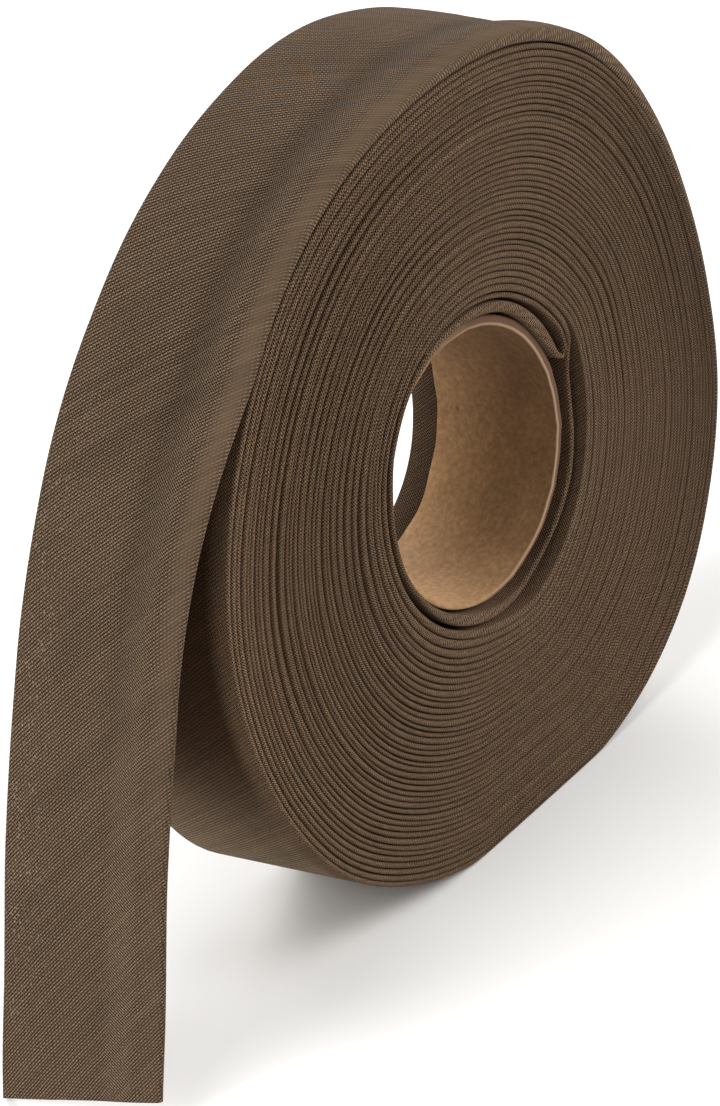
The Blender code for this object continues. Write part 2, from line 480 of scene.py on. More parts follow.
    def _glints(
        self,
        tree: bpy.types.NodeTree,
        cloth: Cloth,
        fades: tuple[float, float],
        colour: bpy.types.NodeSocket,
    ) -> bpy.types.NodeSocket:
        """Paint glints of light as pale specks along the threads, near the cut end.

        Args:
            tree: The material's node tree.
            cloth: Position on the cloth.
            fades: Where along the strip they start and where they stop.
            colour: The dyed cloth.

        Returns:
            The cloth with its painted glints.
        """
        slant = {"Rotation": (0.0, 0.0, math.radians(self.fine_angle)), "Scale": (*self.glint_size, 1.0)}
        slanted = add_node(tree, "Mapping", {"vector_type": "TEXTURE"} | slant, {"Vector": cloth.place})
        cells = add_node(tree, "TexVoronoi", {"Scale": 1.0, "Randomness": 0.55}, {"Vector": slanted})
        clusters = {"Scale": self.cluster_scale, "Detail": 2.0, "Roughness": 0.6}
        groups = add_node(tree, "TexNoise", clusters, {"Vector": cloth.place})
        mask = self._near(tree, cloth.across, self.glint_line, self.glint_width)
        for value, ends in (
            (cells, {"From Min": 0.08, "From Max": 0.30, "To Min": 0.65, "To Max": 0.0}),
            (groups, {"From Min": 0.42, "From Max": 0.60}),
            (cloth.along, {"From Min": fades[0], "From Max": fades[0] + 0.03}),
            (cloth.along, {"From Min": fades[1], "From Max": fades[1] + 0.02, "To Min": 1.0, "To Max": 0.0}),
        ):
            some = add_node(tree, "MapRange", ends, {"Value": value})
            mask = add_node(tree, "Math", {"operation": "MULTIPLY"}, {0: mask, 1: some})
        return add_node(tree, "Mix", {"data_type": "RGBA", 7: linear(self.glint)}, {0: mask, 6: colour}, 2)

    @staticmethod
    def _near(
        tree: bpy.types.NodeTree, across: bpy.types.NodeSocket, line: float, reach: float
    ) -> bpy.types.NodeSocket:
        """Mark a band along the tape.

        Args:
            tree: The material's node tree.
            across: Position across the strip, in metres.
            line: The band's middle across the strip, in metres.
            reach: Distance from the middle at which the band is gone, in metres.

        Returns:
            1 on the line, fading smoothly to 0.
        """
        off = add_node(tree, "Math", {"operation": "SUBTRACT", 1: line}, {0: across})
        away = add_node(tree, "Math", {"operation": "ABSOLUTE"}, {0: off})
        ends = {"From Min": 0.0, "From Max": reach, "To Min": 1.0, "To Max": 0.0}
        return add_node(tree, "MapRange", {"interpolation_type": "SMOOTHSTEP"} | ends, {"Value": away})

    def _threads(
        self, tree: bpy.types.NodeTree, cloth: Cloth, share: bpy.types.NodeSocket | float
    ) -> tuple[bpy.types.NodeSocket, bpy.types.NodeSocket]:
        """Lay the two thread sets over and under each other.

        Args:
            tree: The material's node tree.
            cloth: Position on the cloth.
            share: How far the fine threads stand out over the coarse ones, 0 to 1.

        Returns:
            The height of the weave, and the brightness of each single thread.
        """
        slow = {"Scale": self.stray_scale, "Detail": 2.0}
        stray = add_node(tree, "TexNoise", slow, {"Vector": cloth.place})
        counts, crests, crossings = [], [], []
        for pitch, angle in ((self.fine_pitch, self.fine_angle), (self.coarse_pitch, self.coarse_angle)):
            slant = {"vector_type": "TEXTURE", "Rotation": (0.0, 0.0, math.radians(angle))}
            slanted = add_node(tree, "Mapping", slant | {"Scale": (pitch,) * 3}, {"Vector": cloth.place})
            straight = add_node(tree, "SeparateXYZ", {}, {"Vector": slanted}, "Y")
            bend = {"operation": "MULTIPLY_ADD", 1: self.wander}
            counts.append(add_node(tree, "Math", bend, {0: stray, 2: straight}))
            for turns, waves in ((math.tau, crests), (math.pi, crossings)):
                phase = add_node(tree, "Math", {"operation": "MULTIPLY", 1: turns}, {0: counts[-1]})
                waves.append(add_node(tree, "Math", {"operation": "COSINE"}, {0: phase}))
        over = add_node(tree, "Math", {"operation": "MULTIPLY"}, dict(enumerate(crossings)))
        tops = []
        for crest, lift, least, most in (
            (crests[0], self.cross_lift, 0.62, 1.1),
            (crests[1], -self.cross_lift, 0.9, 0.66),
        ):
            profile = add_node(tree, "Math", {"operation": "MULTIPLY_ADD", 1: 0.5, 2: 0.5}, {0: crest})
            ride = add_node(tree, "Math", {"operation": "MULTIPLY_ADD", 1: lift, 2: 0.66}, {0: over})
            top = add_node(tree, "Math", {"operation": "MULTIPLY"}, {0: profile, 1: ride})
            if isinstance(share, float):
                stand = {"operation": "MULTIPLY", 1: least + (most - least) * share}
                tops.append(add_node(tree, "Math", stand, {0: top}))
            else:
                stands = add_node(tree, "MapRange", {"To Min": least, "To Max": most}, {"Value": share})
                tops.append(add_node(tree, "Math", {"operation": "MULTIPLY"}, {0: top, 1: stands}))
        height = add_node(tree, "Math", {"operation": "MAXIMUM"}, dict(enumerate(tops)))
        # Stray fibres are finer than the eye parts here, so they are drawn a fifth of a millimetre wide.
        fine = {"Scale": self.fibre_scale, "Detail": 2.0}
        fibres = add_node(tree, "TexNoise", fine, {"Vector": cloth.place})
        lifted = add_node(tree, "MapRange", {"To Min": -self.fuzz, "To Max": self.fuzz}, {"Value": fibres})
        height = add_node(tree, "Math", {"operation": "ADD"}, {0: height, 1: lifted})
        number = add_node(tree, "Math", {"operation": "ROUND"}, {0: counts[1]})
        single = add_node(tree, "TexWhiteNoise", {"noise_dimensions": "1D"}, {"W": number})
        return height, add_node(tree, "MapRange", {"To Min": 0.9, "To Max": 1.1}, {"Value": single})


@dataclass(frozen=True)
class KraftBoard:
    """Unbleached board wound into a tube: matt and mottled, with short fibres and a few specks.

    Scales count patches per metre: fibre clots are 0.8 mm wide, clouds 6 mm and specks 5 mm apart.
    """

    fibre_scale: float = 1300.0
    cloud_scale: float = 160.0
    speck_scale: float = 190.0
    dark: str = "8d6b49"
    middle: str = "a07b57"
    pale: str = "b48e68"
    tone_places: tuple[float, float, float] = (0.3, 0.5, 0.7)
    speck: str = "3c2b1d"
    rim: str = "92795f"
    rim_outside: str = "543a29"
    rim_middle: float = 18.38 * MM  # from the axis, where the cut rim turns from pale to brown
    rim_fade: float = 0.12 * MM
    fresh_from_to: tuple[float, float] = (-6.0 * MM, 13.0 * MM)  # along X, where the cut turns fresh
    dark_outside_from_to: tuple[float, float] = (-5.0 * MM, 3.0 * MM)  # along X, where its outside turns brown
    centre: tuple[float, float] = (-0.15 * MM, 51.9 * MM)
    # Painted light and shade inside the tube: slope and level place it, brown is the shade tint and the next
    # one the light tint.
    slope: tuple[float, float, float] = (-24.0, 31.0, -17.0)  # how fast the painted light and shade change, per metre
    level: float = 1.03
    brown: str = "9a9587"
    painted_light_tint: str = "fefff7"
    relief: float = 0.1 * MM
    roughness: float = 0.88
    gloss: float = 0.3

    def material(self, name: str) -> bpy.types.Material:
        """Make the board's material.

        Args:
            name: The material's name.

        Returns:
            The material, patterned on Object coordinates.
        """
        material, tree, shader = new_material(name)
        place = add_node(tree, "TexCoord", {}, {}, "Object")
        clots = {"Scale": self.fibre_scale, "Detail": 4.0, "Roughness": 0.7}
        mottle = add_node(tree, "TexNoise", clots, {"Vector": place})
        fibres = add_node(tree, "ValToRGB", {}, {"Fac": mottle})
        ramp_stops(fibres, self.tone_places, (self.dark, self.middle, self.pale))
        # Painted light and shade: the board is darker at its near right and paler at its lower far part, lit
        # through the far opening.
        along = add_node(tree, "VectorMath", {"operation": "DOT_PRODUCT", 1: self.slope}, {0: place}, "Value")
        cloud = add_node(tree, "TexNoise", {"Scale": self.cloud_scale, "Detail": 3.0}, {"Vector": place})
        blurred = add_node(tree, "Math", {"operation": "MULTIPLY_ADD", 1: 0.5}, {0: cloud, 2: along})
        ends = {"From Min": -0.35 - self.level, "From Max": 0.85 - self.level}
        light_share = add_node(tree, "MapRange", ends, {"Value": blurred})
        tints = {"data_type": "RGBA", 6: linear(self.brown), 7: linear(self.painted_light_tint)}
        tint = add_node(tree, "Mix", tints, {0: light_share}, 2)
        multiply = {"data_type": "RGBA", "blend_type": "MULTIPLY", 0: 1.0}
        lit_board = add_node(tree, "Mix", multiply, {6: fibres, 7: tint}, 2)
        specks = {"Scale": self.speck_scale, "Randomness": 1.0}
        spots = add_node(tree, "TexVoronoi", specks, {"Vector": place})
        ends = {"From Min": 0.03, "From Max": 0.09, "To Min": 0.8, "To Max": 0.0}
        fleck = add_node(tree, "MapRange", ends, {"Value": spots})
        chosen = add_node(
            tree, "Math", {"operation": "GREATER_THAN", 1: 0.62}, {0: spots.node.outputs["Color"]}
        )
        few = add_node(tree, "Math", {"operation": "MULTIPLY"}, {0: fleck, 1: chosen})
        specked = add_node(tree, "Mix", {"data_type": "RGBA", 7: linear(self.speck)}, {0: few, 6: lit_board}, 2)
        bump = add_node(tree, "Bump", {"Strength": 0.4, "Distance": self.relief}, {"Height": mottle})
        tree.links.new(self._rim(tree, place, specked), shader.inputs["Base Color"])
        tree.links.new(bump, shader.inputs["Normal"])
        shader.inputs["Roughness"].default_value = self.roughness
        shader.inputs["Specular IOR Level"].default_value = self.gloss
        return material

    def _rim(
        self, tree: bpy.types.NodeTree, place: bpy.types.NodeSocket, colour: bpy.types.NodeSocket
    ) -> bpy.types.NodeSocket:
        """Colour the cut rim: fresh and pale on its right, darker brown on its outer edge towards the right.

        Args:
            tree: The material's node tree.
            place: Position in the model, in metres.
            colour: The board's own colour.

        Returns:
            The board with its cut rim.
        """
        cut = add_node(tree, "Attribute", {"attribute_name": "cut"}, {}, "Fac")
        flat = {"operation": "MULTIPLY_ADD", 1: (1.0, 0.0, 1.0), 2: (-self.centre[0], 0.0, -self.centre[1])}
        ring = add_node(tree, "VectorMath", flat, {0: place})
        radius = add_node(tree, "VectorMath", {"operation": "LENGTH"}, {0: ring}, "Value")
        right = add_node(tree, "SeparateXYZ", {}, {"Vector": place})
        band = (self.rim_middle - self.rim_fade, self.rim_middle + self.rim_fade)
        ranges = ((band, radius), (self.fresh_from_to, right), (self.dark_outside_from_to, right))
        outside, fresh, dark_outside = (
            add_node(tree, "MapRange", {"From Min": start, "From Max": stop}, {"Value": value})
            for (start, stop), value in ranges
        )
        dark_edge = add_node(tree, "Math", {"operation": "MULTIPLY"}, {0: outside, 1: dark_outside})
        pale = add_node(tree, "Mix", {"data_type": "RGBA", 7: linear(self.rim)}, {0: fresh, 6: colour}, 2)
        brown = {"data_type": "RGBA", 7: linear(self.rim_outside)}
        edge = add_node(tree, "Mix", brown, {0: dark_edge, 6: pale}, 2)
        return add_node(tree, "Mix", {"data_type": "RGBA"}, {0: cut, 6: colour, 7: edge}, 2)


# ----------------------------------------------------------------------------- the folded strip


class Side(Enum):
    """Which part of the folded section a point belongs to."""

    NEAR = -1
    FACE = 0
    FAR = 1


class Corner(NamedTuple):
    """A point of the folded section.

    Its distance in from the folded edge is bulge, cloth and metres added up, and its depth under
    the face is thick and sunk times the cloth's thickness.
    """

    side: Side
    share: float
    bulge: float
    cloth: float
    metres: float
    thick: float
    sunk: float
    strip: float


@dataclass
class TapePath:
    """The folded tape's route: an entry of each array for each step along it, in metres."""

    near: np.ndarray
    far: np.ndarray
    near_y: np.ndarray
    far_y: np.ndarray
    thick: np.ndarray
    roundness: np.ndarray | float = 1.0

    @staticmethod
    def inward(line: np.ndarray) -> np.ndarray:
        """Find the side of the tape that faces the core.

        Args:
            line: Points (X, Z) along an edge.

        Returns:
            A unit vector at each point, a quarter turn left of the way the tape runs.
        """
        way = np.gradient(line, axis=0)
        way /= np.linalg.norm(way, axis=1, keepdims=True)
        return np.stack([-way[:, 1], way[:, 0]], axis=1)

    @property
    def length(self) -> np.ndarray:
        """Measure along the middle of the tape.

        Returns:
            The distance to each step, in metres.
        """
        middle = (self.near + self.far) / 2
        steps = np.linalg.norm(np.diff(middle, axis=0), axis=1)
        return np.concatenate([[0.0], np.cumsum(steps)])


@dataclass(frozen=True)
class FoldedTape:
    """Single-fold bias binding: a face and two flaps, each flap folded under one edge."""

    width: float = 25.0 * MM
    flap: float = 8.75 * MM
    cloth: float = 0.30 * MM  # thickness of one layer
    bulge: float = 0.42 * MM  # how far in from its edge a fold starts to round over
    half_fold: float = 0.60 * MM  # length of strip from the middle of a fold to its end
    arc_steps: int = 8
    inner_arc_steps: int = 4
    face_steps: int = 2
    flap_steps: int = 1

    @property
    def flat_width(self) -> float:
        """Width of the strip before its edges are folded."""
        return self.width + 2 * self.flap

    def _layer(self, inside: float, arc_steps: int) -> list[Corner]:
        """List one side of the cloth from the near raw edge to the far one.

        Args:
            inside: 0 for the cloth's outer side, 1 for its inner side.
            arc_steps: Steps round each fold.

        Returns:
            The corners in order.
        """
        half = []
        for q in np.linspace(self.flap, self.bulge, self.flap_steps + 1)[:-1]:
            strip = self.flap - self.half_fold - (q - self.bulge)
            half.append(Corner(Side.NEAR, 0.0, 0.0, 0.0, q, 1.0, -inside, strip))
        for turn in np.linspace(math.pi / 2, -math.pi / 2, arc_steps + 1):
            strip = self.flap - self.half_fold * turn * 2 / math.pi
            rise, reach = math.sin(turn), math.cos(turn)
            deep = 0.5 + 0.5 * rise
            half.append(Corner(Side.NEAR, 0.0, 1 - reach, inside * reach, 0.0, deep, -inside * rise, strip))
        start = self.flap + self.half_fold
        open_face = self.flat_width - 2 * start
        face = [
            Corner(Side.FACE, share, 0.0, 0.0, 0.0, 0.0, inside, start + share * open_face)
            for share in np.linspace(0.0, 1.0, self.face_steps + 1)[1:-1]
        ]
        other = [
            corner._replace(side=Side.FAR, share=1.0, strip=self.flat_width - corner.strip)
            for corner in reversed(half)
        ]
        return half + face + other

    def section(self) -> list[Corner]:
        """List the closed outline of the folded cloth."""
        outside = self._layer(0.0, self.arc_steps)
        return outside + self._layer(1.0, self.inner_arc_steps)[::-1]

    def shares(self) -> np.ndarray:
        """Across share of each corner of the section, clamped to the face."""
        return np.array([corner.share for corner in self.section()])

    def lay(
        self,
        name: str,
        path: TapePath,
        start_length: float = 0.0,
        lift: np.ndarray | None = None,
        skew: np.ndarray | None = None,
    ) -> bpy.types.Object:
        """Lay the folded tape along a path.

        Args:
            name: The piece's name.
            path: Where the tape goes.
            start_length: Distance along the whole tape at which this piece starts.
            lift: How far the cloth stands off the path at each step and corner, or None.
            skew: Slant of the threads at each step, as a share of the width, or None.

        Returns:
            The finished piece.
        """
        corners = self.section()
        column = {
            field: np.array([getattr(corner, field) for corner in corners]) for field in Corner._fields[1:]
        }
        side = np.array([corner.side.value for corner in corners])
        bulge = np.minimum(self.bulge * path.roundness, path.thick)[:, None]
        across_in = bulge * column["bulge"] + self.cloth * column["cloth"] + column["metres"]
        deep = path.thick[:, None] * column["thick"] + self.cloth * column["sunk"]
        if lift is not None:
            deep = deep - lift
        near_y, far_y = path.near_y[:, None], path.far_y[:, None]
        face = near_y + bulge + column["share"] * (far_y - near_y - 2 * bulge)
        y = np.where(side < 0, near_y + across_in, np.where(side > 0, far_y - across_in, face))
        length = path.length
        flat = np.stack(np.broadcast_arrays(length[:, None], y, deep), axis=-1)
        mix = np.clip((y - near_y) / (far_y - near_y), 0.0, 1.0)[..., None]
        line = path.near[:, None] * (1 - mix) + path.far[:, None] * mix
        inner = path.inward(path.near)[:, None] * (1 - mix) + path.inward(path.far)[:, None] * mix
        spot = line + inner * deep[..., None]
        laid = np.stack([spot[..., 0], y, spot[..., 1]], axis=-1)
        along = (length + start_length)[:, None]
        if skew is not None:
            along = along + skew[:, None] * (column["strip"] - self.flat_width / 2)
        cloth = np.stack(np.broadcast_arrays(along, column["strip"]), axis=-1)
        return self._sew(name, flat, laid, cloth)

    @staticmethod
    def _sew(name: str, flat: np.ndarray, laid: np.ndarray, cloth: np.ndarray) -> bpy.types.Object:
        """Close a grid into the folded section while it is flat, then bend it onto its path.

        Args:
            name: The piece's name.
            flat: Flat position of each step and corner.
            laid: Final position of each step and corner.
            cloth: Position on the unfolded strip of each step and corner.

        Returns:
            The finished piece, with its cloth UV map.
        """
        steps, count = flat.shape[0] - 1, flat.shape[1]
        shape = bmesh.new()
        bmesh.ops.create_grid(shape, x_segments=steps, y_segments=count, size=0.5)
        step_of = shape.verts.layers.int.new("step")
        spot_of = shape.verts.layers.int.new("spot")
        for vert in shape.verts:
            vert[step_of] = round((vert.co.x + 0.5) * steps)
            vert[spot_of] = round((vert.co.y + 0.5) * count) % count
            vert.co = Vector(flat[vert[step_of], vert[spot_of]])
        bmesh.ops.remove_doubles(shape, verts=shape.verts, dist=MERGE)
        bmesh.ops.holes_fill(shape, edges=shape.edges, sides=0)
        bmesh.ops.recalc_face_normals(shape, faces=shape.faces)
        mesh = bpy.data.meshes.new(name)
        shape.to_mesh(mesh)
        shape.free()
        step, spot = np.empty(len(mesh.vertices), np.int32), np.empty(len(mesh.vertices), np.int32)
        mesh.attributes["step"].data.foreach_get("value", step)
        mesh.attributes["spot"].data.foreach_get("value", spot)
        mesh.vertices.foreach_set("co", laid[step, spot].astype(np.float32).ravel())
        corner = np.empty(len(mesh.loops), np.int32)
        mesh.loops.foreach_get("vertex_index", corner)
        chart = cloth[step[corner], spot[corner]]
        mesh.uv_layers.new(name="cloth").data.foreach_set("uv", chart.astype(np.float32).ravel())
        mesh.attributes.remove(mesh.attributes["step"])
        mesh.attributes.remove(mesh.attributes["spot"])
        mesh.update()
        return finished(mesh)


def finished(mesh: bpy.types.Mesh) -> bpy.types.Object:
    """Smooth a mesh, keep its sharp edges and put it in the scene.

    Args:
        mesh: The mesh, in its final place.

    Returns:
        The piece, named like its mesh.
    """
    mesh.shade_smooth()
    mesh.set_sharp_from_angle(angle=math.radians(SHARP_ANGLE))
    piece = bpy.data.objects.new(mesh.name, mesh)
    bpy.context.scene.collection.objects.link(piece)
    return piece


def dress(piece: bpy.types.Object, material: bpy.types.Material, node: str) -> bpy.types.Object:
    """Give a piece its finish and its place in the model.

    Args:
        piece: The piece.
        material: Its material.
        node: The CAD node that it replaces.

    Returns:
        The piece.
    """
    piece.data.materials.append(material)
    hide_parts(node)
    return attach(piece, "root")


def turned(angle: np.ndarray, radius: np.ndarray, height: float) -> np.ndarray:
    """Turn angles and radii about the core's axis into points.

    Args:
        angle: Degrees from +X towards +Z.
        radius: Metres from the axis.
        height: Height of the axis, in metres.

    Returns:
        The (X, Z) points.
    """
    turn = np.radians(angle)
    return np.stack([radius * np.cos(turn), height + radius * np.sin(turn)], axis=1)


# ----------------------------------------------------------------------------------- sub-assemblies

OUTLINE = (  # outside of the pack under its last turn
    Rim(0, 54.2),
    Rim(15, 53.6),
    Rim(30, 53.9),
    Rim(44, 54.4),
    Rim(51, 54.4),
    Rim(62, 53.8),
    Rim(70, 52.9),
    Rim(80, 51.8),
    Rim(90, 50.9),
    Rim(105, 50.4),
    Rim(120, 50.35),
    Rim(135, 50.45),
    Rim(150, 50.9),
    Rim(165, 51.9),
    Rim(180, 53.0),
    Rim(195, 53.7),
    Rim(210, 54.5),
    Rim(225, 55.2),
    Rim(240, 54.6),
    Rim(255, 53.7),
    Rim(270, 52.6),
    Rim(285, 54.1),
    Rim(300, 55.9),
    Rim(315, 56.9),
    Rim(330, 56.5),
    Rim(345, 55.7),
)

BORE = (  # inside of the pack's second turn
    Rim(8, 23.0),
    Rim(15, 23.3),
    Rim(23, 23.35),
    Rim(32, 22.95),
    Rim(45, 22.45),
    Rim(60, 22.1),
    Rim(80, 21.75),
    Rim(95, 21.35),
    Rim(112, 20.95),
    Rim(130, 20.6),
    Rim(150, 20.35),
    Rim(180, 20.0),
    Rim(220, 20.25),
    Rim(235, 20.5),
    Rim(245, 20.7),
    Rim(255, 20.95),
    Rim(265, 21.45),
    Rim(275, 22.25),
    Rim(286, 23.2),
    Rim(300, 23.35),
    Rim(314, 23.1),
    Rim(328, 22.9),
    Rim(342, 22.8),
    Rim(355, 22.8),
)

LOOSE_END = (
    Lay(-60, 56.1, 56.1, 0.80, 0.40),
    Lay(-45, 56.8, 56.8, 0.80, 0.40),
    Lay(-30, 56.4, 56.4, 0.80, 0.40),
    Lay(-15, 55.6, 55.6, 0.80, 0.40),
    Lay(0, 54.7, 54.7, 0.85, 0.40),
    Lay(15, 54.5, 54.6, 1.10, 0.40),
    Lay(30, 55.4, 55.6, 1.60, 0.40),
    Lay(44, 56.4, 56.7, 1.95, 0.39),
    Lay(52, 56.5, 56.7, 2.00, 0.38),
    Lay(60, 56.0, 56.1, 1.90, 0.38),
    Lay(70, 54.7, 55.2, 1.60, 0.37),
    Lay(80, 53.3, 54.6, 1.40, 0.36),
    Lay(90, 52.3, 53.8, 1.30, 0.35),
    Lay(100, 51.8, 52.9, 1.25, 0.32),
    Lay(110, 51.7, 52.5, 1.22, 0.27),
    Lay(120, 51.7, 52.4, 1.20, 0.22),
    Lay(135, 51.7, 53.0, 1.10, 0.12),
    Lay(144, 52.1, 54.1, 1.05, 0.08),
    Lay(155, 55.0, 56.1, 1.00, 0.04),
    Lay(165, 58.5, 58.5, 1.00, 0.01),
    Lay(175, 62.4, 62.1, 1.00, -0.02),
    Lay(185, 67.0, 67.0, 1.00, -0.07),
    Lay(195, 74.3, 74.4, 1.00, -0.12),
    Lay(205, 84.7, 85.0, 1.00, -0.15),
    Lay(214, 99.5, 99.8, 1.00, -0.16),
)

CROWN = (  # the face swells over the near flap, sinks beside it and steps up at the far flap
    Crown(0.00, 0.00, 0.00),
    Crown(0.08, 0.30, 0.12),
    Crown(0.16, 0.40, 0.15),
    Crown(0.27, 0.10, 0.05),
    Crown(0.36, -0.25, -0.10),
    Crown(0.50, -0.10, -0.08),
    Crown(0.64, 0.00, -0.05),
    Crown(0.67, 0.06, 0.05),
    Crown(0.85, 0.10, 0.05),
    Crown(1.00, 0.00, 0.00),
)

FIRST_TURN = (  # folded back raw end, the bend over it, then once round the core
    Loop(112, 20.68, 0.35, 0.3),
    Loop(98, 20.95, 0.50, 0.3),
    Loop(80, 21.3, 0.65, 0.3),
    Loop(62, 21.65, 0.75, 0.3),
    Loop(45, 22.0, 0.80, 0.3),
    Loop(33, 22.4, 0.80, 0.3),
    Loop(25, 22.7, 0.80, 0.3),
    Loop(19.5, 22.6, 0.75, 0.3),
    Loop(15.8, 22.05, 0.70, 0.3),
    Loop(14.8, 21.2, 0.80, 0.3),
    Loop(17.5, 20.4, 1.0, 0.3),
    Loop(25, 20.0, 1.6, 0.3),
    Loop(36, 19.95, 1.85, 0.3),
    Loop(48, 20.05, 1.7, 0.3),
    Loop(60, 20.15, 1.5, 0.3),
    Loop(72, 19.98, 1.4, 0.3),
    Loop(84, 19.8, 1.2, 0.3),
    Loop(97, 19.72, 1.1, 0.3),
    Loop(112, 19.8, 1.0, 0.25),
    Loop(130, 19.85, 0.85, 0.15),
    Loop(150, 19.8, 0.80, 0.0),
    Loop(160, 19.6, 0.80, -0.05),
    Loop(172, 19.45, 0.80, -0.05),
    Loop(182, 19.45, 0.80, 0.0),
    Loop(200, 19.6, 0.80, 0.1),
    Loop(220, 19.75, 0.85, 0.2),
    Loop(235, 20.15, 1.35, 0.1),
    Loop(245, 20.4, 1.55, 0.05),
    Loop(255, 20.65, 1.55, 0.05),
    Loop(265, 21.15, 1.4, 0.3),
    Loop(275, 21.85, 1.2, 0.8, 0.1),
    Loop(286, 22.55, 1.0, 1.4, 0.3),
    Loop(300, 22.75, 0.9, 1.6, 0.5),
    Loop(314, 22.55, 0.9, 1.2, 0.8),
    Loop(328, 22.35, 0.9, 0.9, 1.25),
    Loop(342, 22.25, 0.9, 1.1, 1.4),
    Loop(355, 22.25, 0.9, 1.4, 1.4),
    Loop(365, 22.45, 0.85, 1.3, 1.2),
    Loop(371, 22.95, 0.80, 1.0, 0.7),
)


@dataclass(frozen=True)
class Frame:
    """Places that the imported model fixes, in metres."""

    axis_height: float
    core_near: float
    core_far: float
    core_radius: float

    @staticmethod
    def read() -> "Frame":
        """Read them off the core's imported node.

        Returns:
            The places, in metres.
        """
        low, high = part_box("core_tube")
        return Frame(
            axis_height=(low.z + high.z) / 2,
            core_near=low.y,
            core_far=high.y,
            core_radius=(high.z - low.z) / 2,
        )


@dataclass(frozen=True)
class WoundPack:
    """The wound turns of the tape, from its second turn to where the last one comes loose."""

    place: Frame
    tape: FoldedTape = FoldedTape()
    first: float = 376.0
    last: float = 15060.0
    loose_from: float = 15171.0
    coils: int = 3
    steps_per_turn: int = 150
    slack_side: float = 165.0  # angle at which the turns lie loosest
    pressed_round: float = 0.4  # share of a fold's rounding that is left where turns press together
    pressed_uneven: float = 0.3  # the same for the unevenness of the near edges
    inner_slack: tuple[float, float, float] = (0.8 * MM, 1.7 * MM, 250.0)  # all round, most, and where
    outer_slack: tuple[float, float, float] = (0.2 * MM, 1.3 * MM, 130.0)
    slack_turns: float = 3.0
    spread: Ripple = Ripple(0.05 * MM, 0.4, 6.0, 11)
    breath: Ripple = Ripple(0.035 * MM, 0.45, 2.5, 12)
    near_edge: Ripple = Ripple(0.09 * MM, 0.4, 4.0, 13)
    far_edge: Ripple = Ripple(0.14 * MM, 0.4, 4.0, 14)
    pairing: Ripple = Ripple(0.06 * MM, 0.47, 0.53, 15, 3)
    floor_gap: float = 0.05 * MM
    least_gap: float = 0.02 * MM
    gap: float = 0.03 * MM
    slack_gap: float = 0.09 * MM
    start_sunk: float = 0.8 * MM  # how far in the near edge starts, beside the slack first turn
    start_ease: float = 12.0
    flare: float = 1.2 * MM  # how far the last turns' far edge stands out at the lower left
    flare_angle: float = 232.0
    flare_reach: float = 15.0

    def slackness(self, angle: np.ndarray) -> np.ndarray:
        """How loosely the turns lie: 1 on the left of the roll, 0 where they press together."""
        return np.sqrt(0.5 + 0.5 * np.cos(np.radians(angle - self.slack_side)))

    def boundary(self, angle: np.ndarray) -> np.ndarray:
        """Find where the inner side of the tape lies.

        Args:
            angle: Angle along the whole tape, in degrees, not wrapped.

        Returns:
            Its radius in metres. A full turn later it is the outer side of the turn below.
        """
        bore = Curve.of(BORE, "radius", FULL_TURN)(angle) * MM
        outline = self._above_floor(angle, Curve.of(OUTLINE, "radius", FULL_TURN)(angle) * MM)
        total = (self.loose_from - self.first) / FULL_TURN
        count = (angle - self.first) / FULL_TURN
        share = count / total
        radius = bore + (outline - bore) * share
        # The first and the last few turns lie further apart than the rest.
        inner, outer = (
            least + more * np.clip(np.cos(np.radians(angle - side)), 0, 1) ** 2
            for least, more, side in (self.inner_slack, self.outer_slack)
        )
        radius = radius + inner * (1 - np.exp(-count / self.slack_turns)) * (1 - share)
        radius = radius - outer * (1 - np.exp(-np.maximum(total - count, 0) / self.slack_turns)) * share
        settled = np.clip(count, 0, 1) * np.clip((total - count) / 1.5, 0, 1)
        return radius + self.spread.along(angle) * settled

    def path(self, angle: np.ndarray) -> TapePath:
        """Lay out a stretch of the pack.

        Args:
            angle: Angles along the whole tape, in degrees, not wrapped.

        Returns:
            The tape's path.
        """
        inner = self.boundary(angle)
        slack = self.slackness(angle)
        gap = np.maximum(self.gap + self.slack_gap * slack + self.breath.along(angle), self.least_gap)
        outer = self._above_floor(angle, self.boundary(angle + FULL_TURN) - gap)
        share = (angle - self.first) / (self.loose_from - self.first)
        off = (angle - self.flare_angle + 180.0) % FULL_TURN - 180.0
        flare = self.flare * np.clip(share, 0, 1) ** 3 * np.exp(-((off / self.flare_reach) ** 2))
        edge = self.tape.width / 2
        return TapePath(
            near=turned(angle, outer, self.place.axis_height),
            far=turned(angle, self._above_floor(angle, outer + flare), self.place.axis_height),
            near_y=-edge + self.near_offset(angle),
            far_y=edge + self.far_edge.along(angle),
            thick=outer - inner,
            roundness=self.pressed_round + (1 - self.pressed_round) * slack,
        )

    def _above_floor(self, angle: np.ndarray, radius: np.ndarray) -> np.ndarray:
        """Keep the cloth from passing through the surface the roll rests on.

        Args:
            angle: Angles, in degrees.
            radius: Wanted radii, in metres.

        Returns:
            The radii, shortened where they would reach below the surface.
        """
        rise = np.sin(np.radians(angle))
        floor = (self.place.axis_height - self.floor_gap) / np.maximum(-rise, 0.2)
        return np.where(rise < -0.2, np.minimum(radius, floor), radius)

    def near_offset(self, angle: np.ndarray) -> np.ndarray:
        """Find how far the near edge stands in from the tape's even width.

        Args:
            angle: Angles along the whole tape, in degrees, not wrapped.

        Returns:
            Offsets in metres, more than zero where the edge lies deeper.
        """
        start = self.start_sunk * np.exp(-np.maximum(angle - self.first, 0.0) / self.start_ease)
        uneven = self.near_edge.along(angle) + self.pairing.along(angle)
        return uneven * (self.pressed_uneven + 0.8 * self.slackness(angle)) + start

